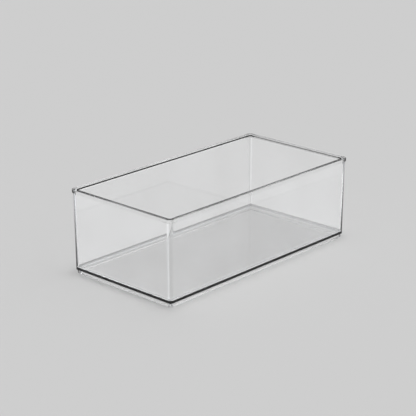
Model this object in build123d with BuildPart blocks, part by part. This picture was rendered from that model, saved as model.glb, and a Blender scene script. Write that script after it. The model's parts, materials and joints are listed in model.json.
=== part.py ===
"""Clear open-topped storage bin for a drawer, in millimetres.

The bin is one clear plastic shell on the shelf. Here it is divided where its features meet:
a floor with a coved border, four walls and four rounded corners that stand on that border,
a lipped rim on top of the walls, and a low foot ring under the floor.
Origin: centre of the footprint, on the surface that the bin stands on. +X runs along the
length, -Y is the front, +Z is up. Neighbouring pieces meet face to face with no gap.
"""

import os

from build123d import *

# Driving dimensions

# Overall size, over the rim's lip and from the foot to the top of the rim
rim_length = 152.4
rim_width = 77.8
overall_height = 50.2

# Rim: its height, and how far its lip stands out past the walls
rim_height = 2.0
rim_lip = 0.6

# Walls: thickness just under the rim, and how far each face leans out from foot to rim
wall_thickness = 1.8
outer_lean = 0.45
inner_lean = 0.3

# Upright corners: radius of the outer and of the inner face at the foot of the walls
outer_corner_radius = 2.0
inner_corner_radius = 1.0

# Floor: thickness, the cove where it turns up into the walls, and the upright land above the cove
floor_thickness = 1.5
cove_radius = 0.8
cove_land = 0.3

# Foot ring: height, distance in from the walls, width, and its corners' outer and inner radius
foot_height = 2.2
foot_inset = 0.9
foot_width = 2.0
foot_outer_radius = 1.2
foot_inner_radius = 0.6

# Rounding of the edges that a hand meets
edge_radius = 0.3
floor_edge_radius = 0.4

# Sizes that follow from the driving dimensions

base_length = rim_length - 2 * (rim_lip + outer_lean)
base_width = rim_width - 2 * (rim_lip + outer_lean)
wall_foot_thickness = wall_thickness + inner_lean - outer_lean
corner_span = max(outer_corner_radius, wall_foot_thickness + inner_corner_radius)

border_height = cove_radius + cove_land
wall_foot_z = foot_height + floor_thickness + border_height
rim_z = overall_height - rim_height
wall_rise = rim_z - wall_foot_z

well_length = base_length - 2 * wall_foot_thickness
well_width = base_width - 2 * wall_foot_thickness
mouth_length = well_length + 2 * inner_lean
mouth_width = well_width + 2 * inner_lean

os.makedirs("parts", exist_ok=True)


def save(piece, name):
    """Name a finished piece and write it out."""
    piece.label = name
    export_step(piece, f"parts/{name}.step")


def upright_plane(foot, outward):
    """Plane that stands across a wall: its x axis points outward and its y axis points up."""
    return Plane(origin=foot, x_dir=outward, z_dir=outward.cross(Vector(0, 0, 1)))


def wall_outline():
    """Corners of a wall's section, from the outer foot, round by the rim, to the inner foot."""
    return [
        (0, 0),
        (outer_lean, wall_rise),
        (outer_lean - wall_thickness, wall_rise),
        (-wall_foot_thickness, 0),
    ]


# Floor panel: a slab out to the full footprint, hollowed on top so that a border is left all
# round, with a cove where the hollow's floor turns up into that border

with BuildPart() as floor_panel:
    with BuildSketch(Plane.XY.offset(foot_height)):
        RectangleRounded(base_length, base_width, outer_corner_radius)
    extrude(amount=floor_thickness + border_height)
    fillet(floor_panel.faces().sort_by(Axis.Z)[0].edges(), floor_edge_radius)
    with BuildSketch(Plane.XY.offset(foot_height + floor_thickness)):
        RectangleRounded(well_length, well_width, inner_corner_radius)
    extrude(amount=border_height, mode=Mode.SUBTRACT)
    hollow_floor = floor_panel.faces().filter_by(Axis.Z).sort_by(Axis.Z)[1]
    fillet(hollow_floor.edges(), min(cove_radius, 0.9 * inner_corner_radius))

save(floor_panel.part, "floor_panel")


# Walls: one tapering section, drawn out straight between two corners

for name, outward, across, along in (
    ("front_wall", Vector(0, -1, 0), base_width, base_length),
    ("rear_wall", Vector(0, 1, 0), base_width, base_length),
    ("left_wall", Vector(-1, 0, 0), base_length, base_width),
    ("right_wall", Vector(1, 0, 0), base_length, base_width),
):
    foot = outward * (across / 2) + Vector(0, 0, wall_foot_z)
    with BuildPart() as wall:
        with BuildSketch(upright_plane(foot, outward)):
            with BuildLine():
                Polyline(*wall_outline(), close=True)
            make_face()
        extrude(amount=along / 2 - corner_span, both=True)
    save(wall.part, name)


# Corners: each a quarter of the shell's ring, growing with the walls' lean from foot to rim

for name, side_x, side_y in (
    ("corner_front_left", -1, -1),
    ("corner_front_right", 1, -1),
    ("corner_rear_left", -1, 1),
    ("corner_rear_right", 1, 1),
):
    with BuildPart() as corner:
        for height, grown_out, grown_in in ((wall_foot_z, 0, 0), (rim_z, outer_lean, inner_lean)):
            with BuildSketch(Plane.XY.offset(height)):
                with Locations((side_x * base_length / 2, side_y * base_width / 2)):
                    Rectangle(2 * corner_span, 2 * corner_span)
                RectangleRounded(
                    base_length + 2 * grown_out,
                    base_width + 2 * grown_out,
                    outer_corner_radius + grown_out,
                    mode=Mode.INTERSECT,
                )
                RectangleRounded(
                    well_length + 2 * grown_in,
                    well_width + 2 * grown_in,
                    inner_corner_radius + grown_in,
                    mode=Mode.SUBTRACT,
                )
        loft(ruled=True)
    save(corner.part, name)


# Rim frame: sits on the walls, flush with their inner faces, its lip standing out all round

with BuildPart() as rim_frame:
    with BuildSketch(Plane.XY.offset(rim_z)):
        RectangleRounded(rim_length, rim_width, outer_corner_radius + outer_lean + rim_lip)
        RectangleRounded(
            mouth_length,
            mouth_width,
            inner_corner_radius + inner_lean,
            mode=Mode.SUBTRACT,
        )
    extrude(amount=rim_height)
    rounded_edges = rim_frame.faces().sort_by(Axis.Z)[-1].edges()
    rounded_edges += rim_frame.faces().sort_by(Axis.Z)[0].outer_wire().edges()
    fillet(rounded_edges, min(edge_radius, 0.4 * rim_height))

save(rim_frame.part, "rim_frame")


# Foot frame: a low ring under the floor, set in from the walls, with its lower edges rounded

foot_length = base_length - 2 * foot_inset
foot_breadth = base_width - 2 * foot_inset

with BuildPart() as foot_frame:
    with BuildSketch(Plane.XY):
        RectangleRounded(foot_length, foot_breadth, foot_outer_radius)
        RectangleRounded(
            foot_length - 2 * foot_width,
            foot_breadth - 2 * foot_width,
            foot_inner_radius,
            mode=Mode.SUBTRACT,
        )
    extrude(amount=foot_height)
    fillet(foot_frame.faces().sort_by(Axis.Z)[0].edges(), min(edge_radius, 0.4 * foot_width))

save(foot_frame.part, "foot_frame")
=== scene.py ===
"""Dresses the clear storage bin: eleven clear plastic pieces that meet as one moulding."""

import json
import math

import bmesh
import bpy
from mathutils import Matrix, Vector


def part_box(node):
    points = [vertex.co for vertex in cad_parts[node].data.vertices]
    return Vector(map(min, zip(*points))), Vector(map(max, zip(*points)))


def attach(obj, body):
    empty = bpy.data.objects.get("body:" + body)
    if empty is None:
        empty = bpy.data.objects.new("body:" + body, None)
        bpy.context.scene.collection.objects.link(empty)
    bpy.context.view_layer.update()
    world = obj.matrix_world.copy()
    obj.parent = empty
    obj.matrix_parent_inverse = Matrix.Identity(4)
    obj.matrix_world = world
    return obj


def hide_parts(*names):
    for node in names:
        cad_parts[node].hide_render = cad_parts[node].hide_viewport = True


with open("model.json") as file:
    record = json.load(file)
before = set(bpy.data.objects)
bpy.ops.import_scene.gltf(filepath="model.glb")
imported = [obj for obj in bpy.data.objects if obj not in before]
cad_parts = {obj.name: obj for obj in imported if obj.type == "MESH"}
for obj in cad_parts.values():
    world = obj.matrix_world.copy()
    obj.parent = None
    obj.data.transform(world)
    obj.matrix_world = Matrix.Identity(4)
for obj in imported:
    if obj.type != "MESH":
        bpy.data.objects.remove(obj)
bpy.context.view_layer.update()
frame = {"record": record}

MM = 0.001

# Sizes that the frame doesn't give by itself, as the part's own source has them

inner_lean = 0.3 * MM
outer_corner_radius = 2.0 * MM
inner_corner_radius = 1.0 * MM
floor_thickness = 1.5 * MM
cove_radius = 0.8 * MM
foot_width = 2.0 * MM
foot_outer_radius = 1.2 * MM
foot_inner_radius = 0.6 * MM
edge_radius = 0.3 * MM
floor_edge_radius = 0.4 * MM

# Steps round a quarter turn, of an upright corner and of a rounded edge
corner_steps = 16
edge_steps = 4

# Points of one ring round one corner: its turn, and the ends of the two walls
corner_count = corner_steps + 3

# How far from the base's corner the rim's and the foot's corners fade into their straight sides
rim_corner_span = 5.0 * MM
foot_corner_span = 3.2 * MM

# Touching pieces stand this far apart, so that a ray meets the end of one and then the other.
# Points of one piece that lie closer than the merge distance become one.
hairline = 0.002 * MM
merge_distance = 0.1 * hairline

# Faces that meet at more degrees than this meet at a sharp edge
sharp_angle = 40

# Where dark bands are painted for the light that dies out in the plastic: down the rim's inner
# side, below the rim inside the wall, and on the base's outer side up to a little above the floor
band_drop = 1.1 * MM
guide_drop = 3.4 * MM
base_band_rise = 0.35 * MM

# How dark the cove's painted line is, and how dark the painted lines at the mouth and the cove are
# on the short sides, against the long ones
cove_share = 0.65
short_side_share = 0.72

# Width of the floor's painted glow, a paler border next to the cove
painted_glow_margin = 3.6 * MM

# Places taken from the frame

panel_low, panel_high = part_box("floor_panel")
wall_low, wall_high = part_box("front_wall")
rim_low, rim_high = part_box("rim_frame")
foot_low, foot_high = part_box("foot_frame")

base_length = panel_high.x - panel_low.x
base_width = panel_high.y - panel_low.y
corner_span = base_length / 2 - wall_high.x
outer_lean = -wall_low.y - base_width / 2
wall_foot_inset = base_width / 2 + wall_high.y
mouth_inset = wall_foot_inset - inner_lean
lip_inset = base_width / 2 - rim_high.y
foot_inset = base_width / 2 - foot_high.y

foot_top = foot_high.z
floor_top = foot_top + floor_thickness
wall_foot_z = panel_high.z
rim_z = rim_low.z
rim_top = rim_high.z

slots = {part["node"]: part["material_slot"] for part in frame["record"]["subparts"]}


# Rings: level outlines of the bin, given by their inset from the base's outline, their corner
# radius and their height. All run anticlockwise seen from above, with their points in step.

CORNERS = {
    "corner_front_left": (-1, -1, 180),
    "corner_front_right": (1, -1, 270),
    "corner_rear_right": (1, 1, 0),
    "corner_rear_left": (-1, 1, 90),
}
WALLS = ("front_wall", "right_wall", "rear_wall", "left_wall")

# The steps from point to point of a whole ring that run along the short walls
SHORT_SIDES = (2 * corner_count - 1, 4 * corner_count - 1)


def corner_points(name, inset, radius, height, span=corner_span):
    """Points of one ring round one corner, between the ends of the two walls that it joins."""
    side_x, side_y, first_angle = CORNERS[name]
    reach_x = base_length / 2 - inset
    reach_y = base_width / 2 - inset
    end_of_side = Vector((side_x * reach_x, side_y * (base_width / 2 - span), height))
    end_of_front = Vector((side_x * (base_length / 2 - span), side_y * reach_y, height))
    arc = []
    for step in range(corner_steps + 1):
        angle = math.radians(first_angle + 90 * step / corner_steps)
        across = side_x * (reach_x - radius) + radius * math.cos(angle)
        along = side_y * (reach_y - radius) + radius * math.sin(angle)
        arc.append(Vector((across, along, height)))
    if side_x == side_y:
        return [end_of_side, *arc, end_of_front]
    return [end_of_front, *arc, end_of_side]


def ring_points(inset, radius, height, span=corner_span):
    """Points of a whole ring."""
    points = []
    for name in CORNERS:
        points += corner_points(name, inset, radius, height, span)
    return points


def wall_points(name, inset, radius, height):
    """The two points of one ring at the ends of one wall, drawn in by the hairline."""
    before = WALLS.index(name)
    after = (before + 1) % len(WALLS)
    corners = list(CORNERS)
    start = corner_points(corners[before], inset, radius, height)[-1]
    end = corner_points(corners[after], inset, radius, height)[0]
    inward = (end - start).normalized() * hairline
    return [start + inward, end - inward]


def outer_radius(inset):
    """Corner radius of a ring that keeps in step with the outer face."""
    return outer_corner_radius - inset


def inner_radius(inset):
    """Corner radius of a ring that keeps in step with the inner face."""
    return inner_corner_radius + wall_foot_inset - inset


def foot_outside(inset):
    """Corner radius of a ring that keeps in step with the foot's outer face."""
    return foot_outer_radius + foot_inset - inset


def foot_inside(inset):
    """Corner radius of a ring that keeps in step with the foot's inner face."""
    return foot_inner_radius + foot_inset + foot_width - inset


def rounded_edge(inset, height, radius, first_angle, corner_radius):
    """Rings round a quarter turn about (inset, height). Angle 0 points out, 90 points up."""
    rings = []
    for step in range(edge_steps + 1):
        angle = math.radians(first_angle + 90 * step / edge_steps)
        ring_inset = inset - radius * math.cos(angle)
        rings.append((ring_inset, corner_radius(ring_inset), height + radius * math.sin(angle)))
    return rings


# Outlines: a piece's rings in order, in runs of one kind. A run's kind is that of the strips that
# lead up to its rings.
#   clear: free and clear         bonded: shared with the next piece, so it doesn't show
#   edge: painted dark from outside       soft: painted partly dark from outside
#   guide: painted dark where light runs along inside the plastic
#   dark: both edge and guide     side: painted dark where it turns away, at the upright corners

KINDS = {
    "clear": {"free_face": 1.0},
    "bonded": {},
    "edge": {"free_face": 1.0, "dark_edge": 1.0},
    "soft": {"free_face": 1.0, "dark_edge": cove_share},
    "guide": {"free_face": 1.0, "guide_edge": 1.0},
    "dark": {"free_face": 1.0, "dark_edge": 1.0, "guide_edge": 1.0},
    "side": {"free_face": 1.0, "side_face": 1.0},
}
FACE_LAYERS = ("free_face", "dark_edge", "guide_edge", "side_face")
POINT_LAYERS = ("rise", "arc", "turn")


def outline(*runs):
    """Flatten the runs into the rings and the kind of the strip before each ring."""
    rings = [ring for kind, run in runs for ring in run]
    kinds = [kind for kind, run in runs for ring in run]
    return rings, kinds


def mark(bm, face, kind):
    """Write a strip's kind on one of its faces."""
    for layer in FACE_LAYERS:
        face[bm.faces.layers.float[layer]] = KINDS[kind].get(layer, 0.0)


def mark_points(bm, name, rows):
    """Write on each point its height, whether it is on an upright corner, and how far round."""
    rise, arc, turn = (bm.verts.layers.float[layer] for layer in POINT_LAYERS)
    for row in rows:
        for i, vert in enumerate(row):
            vert[rise] = vert.co.z / rim_top
            if name in CORNERS:
                side_x, side_y, _ = CORNERS[name]
                share = min(max(i - 1, 0), corner_steps) / corner_steps
                vert[turn] = share if side_x == side_y else 1.0 - share
                vert[arc] = 1.0
            elif name not in WALLS:
                at_end = i % corner_count in (0, corner_count - 1)
                vert[arc] = 0.0 if at_end else 1.0


def make_piece(name, rows, kinds, end_kind, closed=True, capped=()):
    """Join rows of points into the piece that stands for a node. closed rows run right round,
    and open ones get an end of end_kind at both ends. capped rows are filled in."""
    bm = bmesh.new()
    for layer in FACE_LAYERS:
        bm.faces.layers.float.new(layer)
    for layer in POINT_LAYERS:
        bm.verts.layers.float.new(layer)
    rows = [[bm.verts.new(point) for point in row] for row in rows]
    mark_points(bm, name, rows)
    pairs = list(zip(rows, rows[1:], kinds[1:]))
    if not capped:
        pairs.append((rows[-1], rows[0], kinds[0]))
    for lower, upper, kind in pairs:
        for i in range(len(lower) if closed else len(lower) - 1):
            j = (i + 1) % len(lower)
            face = bm.faces.new((lower[i], lower[j], upper[j], upper[i]))
            mark(bm, face, kind)
            if kind in ("dark", "soft") and i in SHORT_SIDES:
                face[bm.faces.layers.float["dark_edge"]] *= short_side_share
    for index in capped:
        mark(bm, bm.faces.new(rows[index]), end_kind)
    if not closed:
        for end in (0, -1):
            mark(bm, bm.faces.new([row[end] for row in rows]), end_kind)
    bmesh.ops.remove_doubles(bm, verts=bm.verts, dist=merge_distance)
    bmesh.ops.recalc_face_normals(bm, faces=bm.faces)

    mesh = bpy.data.meshes.new(f"clear_{name}")
    bm.to_mesh(mesh)
    bm.free()
    mesh.shade_smooth()
    mesh.set_sharp_from_angle(angle=math.radians(sharp_angle))
    mesh.materials.append(MATERIALS[slots[name]])
    piece = bpy.data.objects.new(f"clear_{name}", mesh)
    bpy.context.scene.collection.objects.link(piece)
    weighted = piece.modifiers.new("even_normals", "WEIGHTED_NORMAL")
    weighted.keep_sharp = True
    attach(piece, "root")
    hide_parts(name)
    return piece


# Materials


def number(tree, operation, first, second=0.0):
    """A sum on one or two sockets or numbers."""
    node = tree.nodes.new("ShaderNodeMath")
    node.operation = operation
    for socket, value in zip(node.inputs, (first, second)):
        if isinstance(value, float):
            socket.default_value = value
        else:
            tree.links.new(value, socket)
    return node.outputs["Value"]


def attribute(tree, name):
    """A value kept on the mesh."""
    node = tree.nodes.new("ShaderNodeAttribute")
    node.attribute_name = name
    return node.outputs["Fac"]


def tone_ramp(tree, source, stops):
    """Grey tones along a value."""
    ramp = tree.nodes.new("ShaderNodeValToRGB")
    tree.links.new(source, ramp.inputs["Fac"])
    elements = ramp.color_ramp.elements
    while len(elements) > 1:
        elements.remove(elements[-1])
    for index, (place, tone) in enumerate(stops):
        element = elements[0] if index == 0 else elements.new(place)
        element.position = place
        element.color = (tone, tone, tone, 1.0)
    return ramp.outputs["Color"]


def grey(tree, tone):
    """A grey from one number."""
    node = tree.nodes.new("ShaderNodeCombineColor")
    for name in ("Red", "Green", "Blue"):
        tree.links.new(tone, node.inputs[name])
    return node.outputs["Color"]


def border_share(tree, position):
    """0 inside the floor's border, growing to 1 at the cove."""
    split = tree.nodes.new("ShaderNodeSeparateXYZ")
    tree.links.new(position, split.inputs["Vector"])
    into = 0.0
    for axis, reach in (("X", base_length / 2), ("Y", base_width / 2)):
        start = reach - wall_foot_inset - cove_radius - painted_glow_margin
        past = number(tree, "SUBTRACT", number(tree, "ABSOLUTE", split.outputs[axis]), start)
        into = number(tree, "MAXIMUM", past, into)
    return number(tree, "DIVIDE", into, painted_glow_margin)


# The plastic: how it bends light, how fast it darkens with depth, the faint glow painted on it in
# place of light that it scatters, and the shade painted on the floor's tone
plastic_ior = 1.5
plastic_density = 1.0
floor_density = 0.5
painted_glow_colour = (0.93, 0.96, 1.0, 1.0)
wall_painted_glow = 0.023
border_painted_glow = 0.09
# The floor's tone is darkened by a painted shade
floor_painted_shade = 0.88

# A face holds a ray inside the plastic where it reflects more than this share of it
held_in_share = 0.99

# With this blend, a face's turn from the eye is 0 face on and 1 edge on
even_blend = 0.5

# Side faces seen from outside are painted dark between these two turns, as dark side lines
side_turns = (0.35, 0.38)
corner_side_turns = (0.36, 0.39)

# Painted shade and painted highlight round an upright corner, from the short wall's end at 0 to the
# long wall's end at 1
CORNER_PAINTED_SHADE = [(0.0, 1.0), (0.25, 1.0), (0.5, 0.86), (0.75, 0.86), (1.0, 0.97)]
CORNER_PAINTED_HIGHLIGHT = [(0.0, 0.03), (0.1, 0.085), (0.22, 0.075), (0.33, 0.0), (1.0, 0.0)]

# Side faces met from inside are painted dark up to the first turn, for the light lost there, and
# stay clear from the second
lost_to = 0.65
kept_from = 0.8

# Share of a corner's painted dark side line that is gone at the height of the rim
side_line_fade = 0.5

# Share of the foot's corners that the eye looks straight through
corner_thinning = 0.85

# The moulding's slight random unevenness in tone, which also varies the painted glow
unevenness_scale = 30.0
unevenness_depth = 0.06


def clear_plastic(
    name, density, painted_glow=0.0, painted_shade=1.0, turns=side_turns, corner=False, foot=False, border=0.0
):
    """Clear moulded plastic. density darkens long paths through it, painted_glow is a faint glow
    painted on it, painted_shade a shade painted on its tone, turns where its side faces are painted
    dark, and border the painted glow at the floor's border. corner adds an upright corner's painted
    shade and painted highlight, and foot lets the eye through the foot's corners."""
    material = bpy.data.materials.new(name)
    material.use_nodes = True
    tree = material.node_tree
    surface = tree.nodes["Principled BSDF"]
    surface.inputs["Roughness"].default_value = 0.0
    surface.inputs["IOR"].default_value = plastic_ior
    surface.inputs["Emission Color"].default_value = painted_glow_colour

    # Which side of the plastic the ray is on, and whether the face would hold it in
    geometry = tree.nodes.new("ShaderNodeNewGeometry")
    inside = geometry.outputs["Backfacing"]
    outside = number(tree, "SUBTRACT", 1.0, inside)
    fresnel = tree.nodes.new("ShaderNodeFresnel")
    fresnel.inputs["IOR"].default_value = plastic_ior
    held_in = number(tree, "GREATER_THAN", fresnel.outputs["Fac"], held_in_share)
    held_in = number(tree, "MULTIPLY", held_in, inside)

    # How far the face turns away from the eye, from 0 to 1
    facing = tree.nodes.new("ShaderNodeLayerWeight")
    facing.inputs["Blend"].default_value = even_blend
    grazing = tree.nodes.new("ShaderNodeMapRange")
    grazing.inputs["From Min"].default_value = turns[0]
    grazing.inputs["From Max"].default_value = turns[1]
    tree.links.new(facing.outputs["Facing"], grazing.inputs["Value"])
    turned_away = grazing.outputs["Result"]
    in_view = number(tree, "SUBTRACT", 1.0, turned_away)
    slanting = tree.nodes.new("ShaderNodeMapRange")
    slanting.inputs["From Min"].default_value = kept_from
    slanting.inputs["From Max"].default_value = lost_to
    tree.links.new(facing.outputs["Facing"], slanting.inputs["Value"])

    # Painted dark where light is lost inside, on the marked edges, and on the corners' far sides
    arc = attribute(tree, "arc")
    rounded = number(tree, "MULTIPLY", attribute(tree, "side_face"), arc)
    lost = number(tree, "MULTIPLY", rounded, slanting.outputs["Result"])
    lost = number(tree, "MAXIMUM", attribute(tree, "guide_edge"), lost)
    lost = number(tree, "MULTIPLY", held_in, lost)
    edge = number(tree, "MULTIPLY", outside, attribute(tree, "dark_edge"))
    side_line = number(tree, "MULTIPLY", outside, turned_away)
    side_line = number(tree, "MULTIPLY", side_line, rounded)
    if corner:
        fade = number(tree, "MULTIPLY", attribute(tree, "rise"), side_line_fade)
        side_line = number(tree, "MULTIPLY", side_line, number(tree, "SUBTRACT", 1.0, fade))
    dark = number(tree, "MAXIMUM", number(tree, "MAXIMUM", lost, edge), side_line)
    clear = number(tree, "SUBTRACT", 1.0, dark)
    tree.links.new(clear, surface.inputs["Transmission Weight"])

    # Tone, with its painted shade, and the painted glow
    position = tree.nodes.new("ShaderNodeTexCoord").outputs["Object"]
    noise = tree.nodes.new("ShaderNodeTexNoise")
    noise.inputs["Scale"].default_value = unevenness_scale
    noise.inputs["Detail"].default_value = 1.0
    tree.links.new(position, noise.inputs["Vector"])
    uneven = noise.outputs["Fac"]

    # A faint painted glow in place of the light that the plastic scatters, brighter still at the
    # floor's border
    glow = number(tree, "MULTIPLY", uneven, 2.0 * painted_glow)
    if border:
        border_glow = number(tree, "MULTIPLY", border_share(tree, position), border)
        glow = number(tree, "ADD", glow, number(tree, "MULTIPLY", outside, border_glow))
    glow = number(tree, "MULTIPLY", clear, glow)

    tone = number(tree, "MULTIPLY", uneven, -unevenness_depth)
    tone = number(tree, "ADD", tone, 1.0 + unevenness_depth / 2)
    # The tone is darkened here by a painted shade
    tone = number(tree, "MULTIPLY", tone, painted_shade)
    # An upright corner gets a painted band of shade and a painted highlight streak
    if corner:
        turn = attribute(tree, "turn")
        painted_corner_shade = number(tree, "SUBTRACT", 1.0, tone_ramp(tree, turn, CORNER_PAINTED_SHADE))
        painted_corner_shade = number(tree, "MULTIPLY", painted_corner_shade, outside)
        tone = number(tree, "MULTIPLY", tone, number(tree, "SUBTRACT", 1.0, painted_corner_shade))
        painted_corner_highlight = number(tree, "MULTIPLY", in_view, tone_ramp(tree, turn, CORNER_PAINTED_HIGHLIGHT))
        glow = number(tree, "ADD", glow, painted_corner_highlight)
    tree.links.new(grey(tree, number(tree, "MULTIPLY", tone, clear)), surface.inputs["Base Color"])
    if painted_glow or border:
        tree.links.new(glow, surface.inputs["Emission Strength"])

    # Faces that are shared with the next piece don't show
    solid = attribute(tree, "free_face")
    if foot:
        thin = number(tree, "MULTIPLY", number(tree, "MULTIPLY", in_view, arc), corner_thinning)
        solid = number(tree, "MULTIPLY", solid, number(tree, "SUBTRACT", 1.0, thin))
    tree.links.new(solid, surface.inputs["Alpha"])

    depth = tree.nodes.new("ShaderNodeVolumeAbsorption")
    depth.inputs["Color"].default_value = (0.0, 0.0, 0.0, 1.0)
    depth.inputs["Density"].default_value = density
    tree.links.new(depth.outputs["Volume"], tree.nodes["Material Output"].inputs["Volume"])
    return material


MATERIALS = {
    "clear_floor": clear_plastic("clear_floor", floor_density, painted_shade=floor_painted_shade, border=border_painted_glow),
    "clear_wall": clear_plastic("clear_wall", plastic_density, wall_painted_glow),
    "clear_corner": clear_plastic(
        "clear_corner", plastic_density, wall_painted_glow, turns=corner_side_turns, corner=True
    ),
    "clear_rim": clear_plastic("clear_rim", plastic_density),
    "clear_foot": clear_plastic("clear_foot", plastic_density, foot=True),
}


# Floor panel: from its underside out round the lower edge, up to the walls, in and down the cove

lower_edge = rounded_edge(
    floor_edge_radius, foot_top + floor_edge_radius, floor_edge_radius, 270, outer_radius
)
cove = rounded_edge(
    wall_foot_inset + cove_radius, floor_top + cove_radius, cove_radius, 270, inner_radius
)
rings, kinds = outline(
    ("bonded", [(foot_inset + foot_width, foot_inner_radius, foot_top)]),
    ("bonded", [(foot_inset, foot_outer_radius, foot_top)]),
    ("clear", lower_edge[:1]),
    ("edge", [*lower_edge[1:], (0, outer_corner_radius, floor_top + base_band_rise)]),
    ("side", [(0, outer_corner_radius, wall_foot_z)]),
    ("bonded", [(wall_foot_inset, inner_corner_radius, wall_foot_z)]),
    ("soft", cove[::-1]),
)
make_piece("floor_panel", [ring_points(*ring) for ring in rings], kinds, "clear", capped=(0, -1))


# Walls and corners: the same rings, cut at the ends of the walls

guide_z = rim_top - guide_drop
guide_inset = mouth_inset + inner_lean * (rim_z - guide_z) / (rim_z - wall_foot_z)
rings, kinds = outline(
    ("bonded", [(0, outer_corner_radius, wall_foot_z + hairline)]),
    ("side", [(-outer_lean, outer_radius(-outer_lean), rim_z - hairline)]),
    ("bonded", [(mouth_inset, inner_radius(mouth_inset), rim_z - hairline)]),
    ("guide", [(guide_inset, inner_radius(guide_inset), guide_z)]),
    ("clear", [(wall_foot_inset, inner_corner_radius, wall_foot_z + hairline)]),
)
for wall in WALLS:
    make_piece(wall, [wall_points(wall, *ring) for ring in rings], kinds, "bonded", closed=False)
for corner in CORNERS:
    make_piece(
        corner, [corner_points(corner, *ring) for ring in rings], kinds, "bonded", closed=False
    )


# Rim: lip underside, rounded lower edge, outer side, rounded top edges, inner side

lip_edge = lip_inset + edge_radius
mouth_edge = mouth_inset - edge_radius
mouth_radius = inner_radius(mouth_inset)
rings, kinds = outline(
    ("bonded", [(-outer_lean, outer_radius(-outer_lean), rim_z)]),
    ("side", rounded_edge(lip_edge, rim_z + edge_radius, edge_radius, 270, outer_radius)),
    ("side", rounded_edge(lip_edge, rim_top - edge_radius, edge_radius, 0, outer_radius)),
    ("clear", rounded_edge(mouth_edge, rim_top - edge_radius, edge_radius, 90, inner_radius)),
    ("dark", [(mouth_inset, mouth_radius, rim_top - band_drop)]),
    ("guide", [(mouth_inset, mouth_radius, rim_z)]),
)
make_piece("rim_frame", [ring_points(*ring, rim_corner_span) for ring in rings], kinds, "clear")


# Foot: inner side, rounded lower edges, outer side, and the top that carries the floor

foot_inner_edge = foot_inset + foot_width - edge_radius
foot_outer_edge = foot_inset + edge_radius
rings, kinds = outline(
    ("bonded", [(foot_inset + foot_width, foot_inner_radius, foot_top - hairline)]),
    ("clear", rounded_edge(foot_inner_edge, edge_radius, edge_radius, 180, foot_inside)),
    ("clear", rounded_edge(foot_outer_edge, edge_radius, edge_radius, 270, foot_outside)),
    ("side", [(foot_inset, foot_outer_radius, foot_top - hairline)]),
)
make_piece("foot_frame", [ring_points(*ring, foot_corner_span) for ring in rings], kinds, "clear")


# Stage

floor_tone = 0.62
floor_roughness = 0.9
floor_reach = 6.0
floor_material = bpy.data.materials.new("pale_floor")
floor_material.use_nodes = True
floor_surface = floor_material.node_tree.nodes["Principled BSDF"]
floor_surface.inputs["Base Color"].default_value = (floor_tone, floor_tone, floor_tone, 1.0)
floor_surface.inputs["Roughness"].default_value = floor_roughness
floor_surface.inputs["Specular IOR Level"].default_value = 0.0
floor_mesh = bpy.data.meshes.new("stage_floor")
floor_corners = ((-1, -1), (1, -1), (1, 1), (-1, 1))
floor_mesh.from_pydata(
    [(x * floor_reach, y * floor_reach, -hairline) for x, y in floor_corners], [], [(0, 1, 2, 3)]
)
floor_mesh.materials.append(floor_material)
stage_floor = bpy.data.objects.new("stage_floor", floor_mesh)
bpy.context.scene.collection.objects.link(stage_floor)


# Studio light: a soft sky that grows brighter towards the top, and a little towards one side

SKY_TONES = [(0.0, 0.15), (0.2, 0.3), (0.33, 0.5), (0.6, 1.0), (1.0, 1.35)]

# The level direction of the brighter side, and how much brighter it is at the horizon
bright_side = (0.678, -0.735, 0.0)
side_share = 0.5

world = bpy.data.worlds.new("studio")
bpy.context.scene.world = world
world.use_nodes = True
sky = world.node_tree
direction = sky.nodes.new("ShaderNodeTexCoord")
split = sky.nodes.new("ShaderNodeSeparateXYZ")
sky.links.new(direction.outputs["Generated"], split.inputs["Vector"])
background = sky.nodes["Background"]
sky.links.new(tone_ramp(sky, split.outputs["Z"], SKY_TONES), background.inputs["Color"])
sideways = sky.nodes.new("ShaderNodeVectorMath")
sideways.operation = "DOT_PRODUCT"
sideways.inputs[1].default_value = bright_side
sky.links.new(direction.outputs["Generated"], sideways.inputs[0])
strength = number(sky, "MULTIPLY", sideways.outputs["Value"], side_share)
sky.links.new(number(sky, "ADD", strength, 1.0), background.inputs["Strength"])


# Camera

focal_pixels = 1398.95
picture_pixels = 416
sensor_width = 36.0
nearest_seen = 0.01
farthest_seen = 50.0
azimuth = math.radians(-47.293)
elevation = math.radians(19.199)
distance = 822.2 * MM
target = Vector((4.316, 8.444, 25.555)) * MM
level = math.cos(elevation)
away = Vector((math.sin(azimuth) * level, -math.cos(azimuth) * level, math.sin(elevation)))

camera_data = bpy.data.cameras.new("camera")
camera_data.sensor_width = sensor_width
camera_data.lens = focal_pixels / picture_pixels * sensor_width
camera_data.clip_start = nearest_seen
camera_data.clip_end = farthest_seen
camera = bpy.data.objects.new("camera", camera_data)
bpy.context.scene.collection.objects.link(camera)
camera.location = target + away * distance
camera.rotation_euler = (-away).to_track_quat("-Z", "Y").to_euler()
bpy.context.scene.camera = camera

# Light passes many faces inside clear plastic, so paths run long and stay sharp

light_path_length = 40
cycles = bpy.context.scene.cycles
cycles.blur_glossy = 0.0
cycles.max_bounces = light_path_length
cycles.transmission_bounces = light_path_length
cycles.glossy_bounces = light_path_length
cycles.transparent_max_bounces = light_path_length
bpy.context.scene.view_settings.view_transform = "Standard"
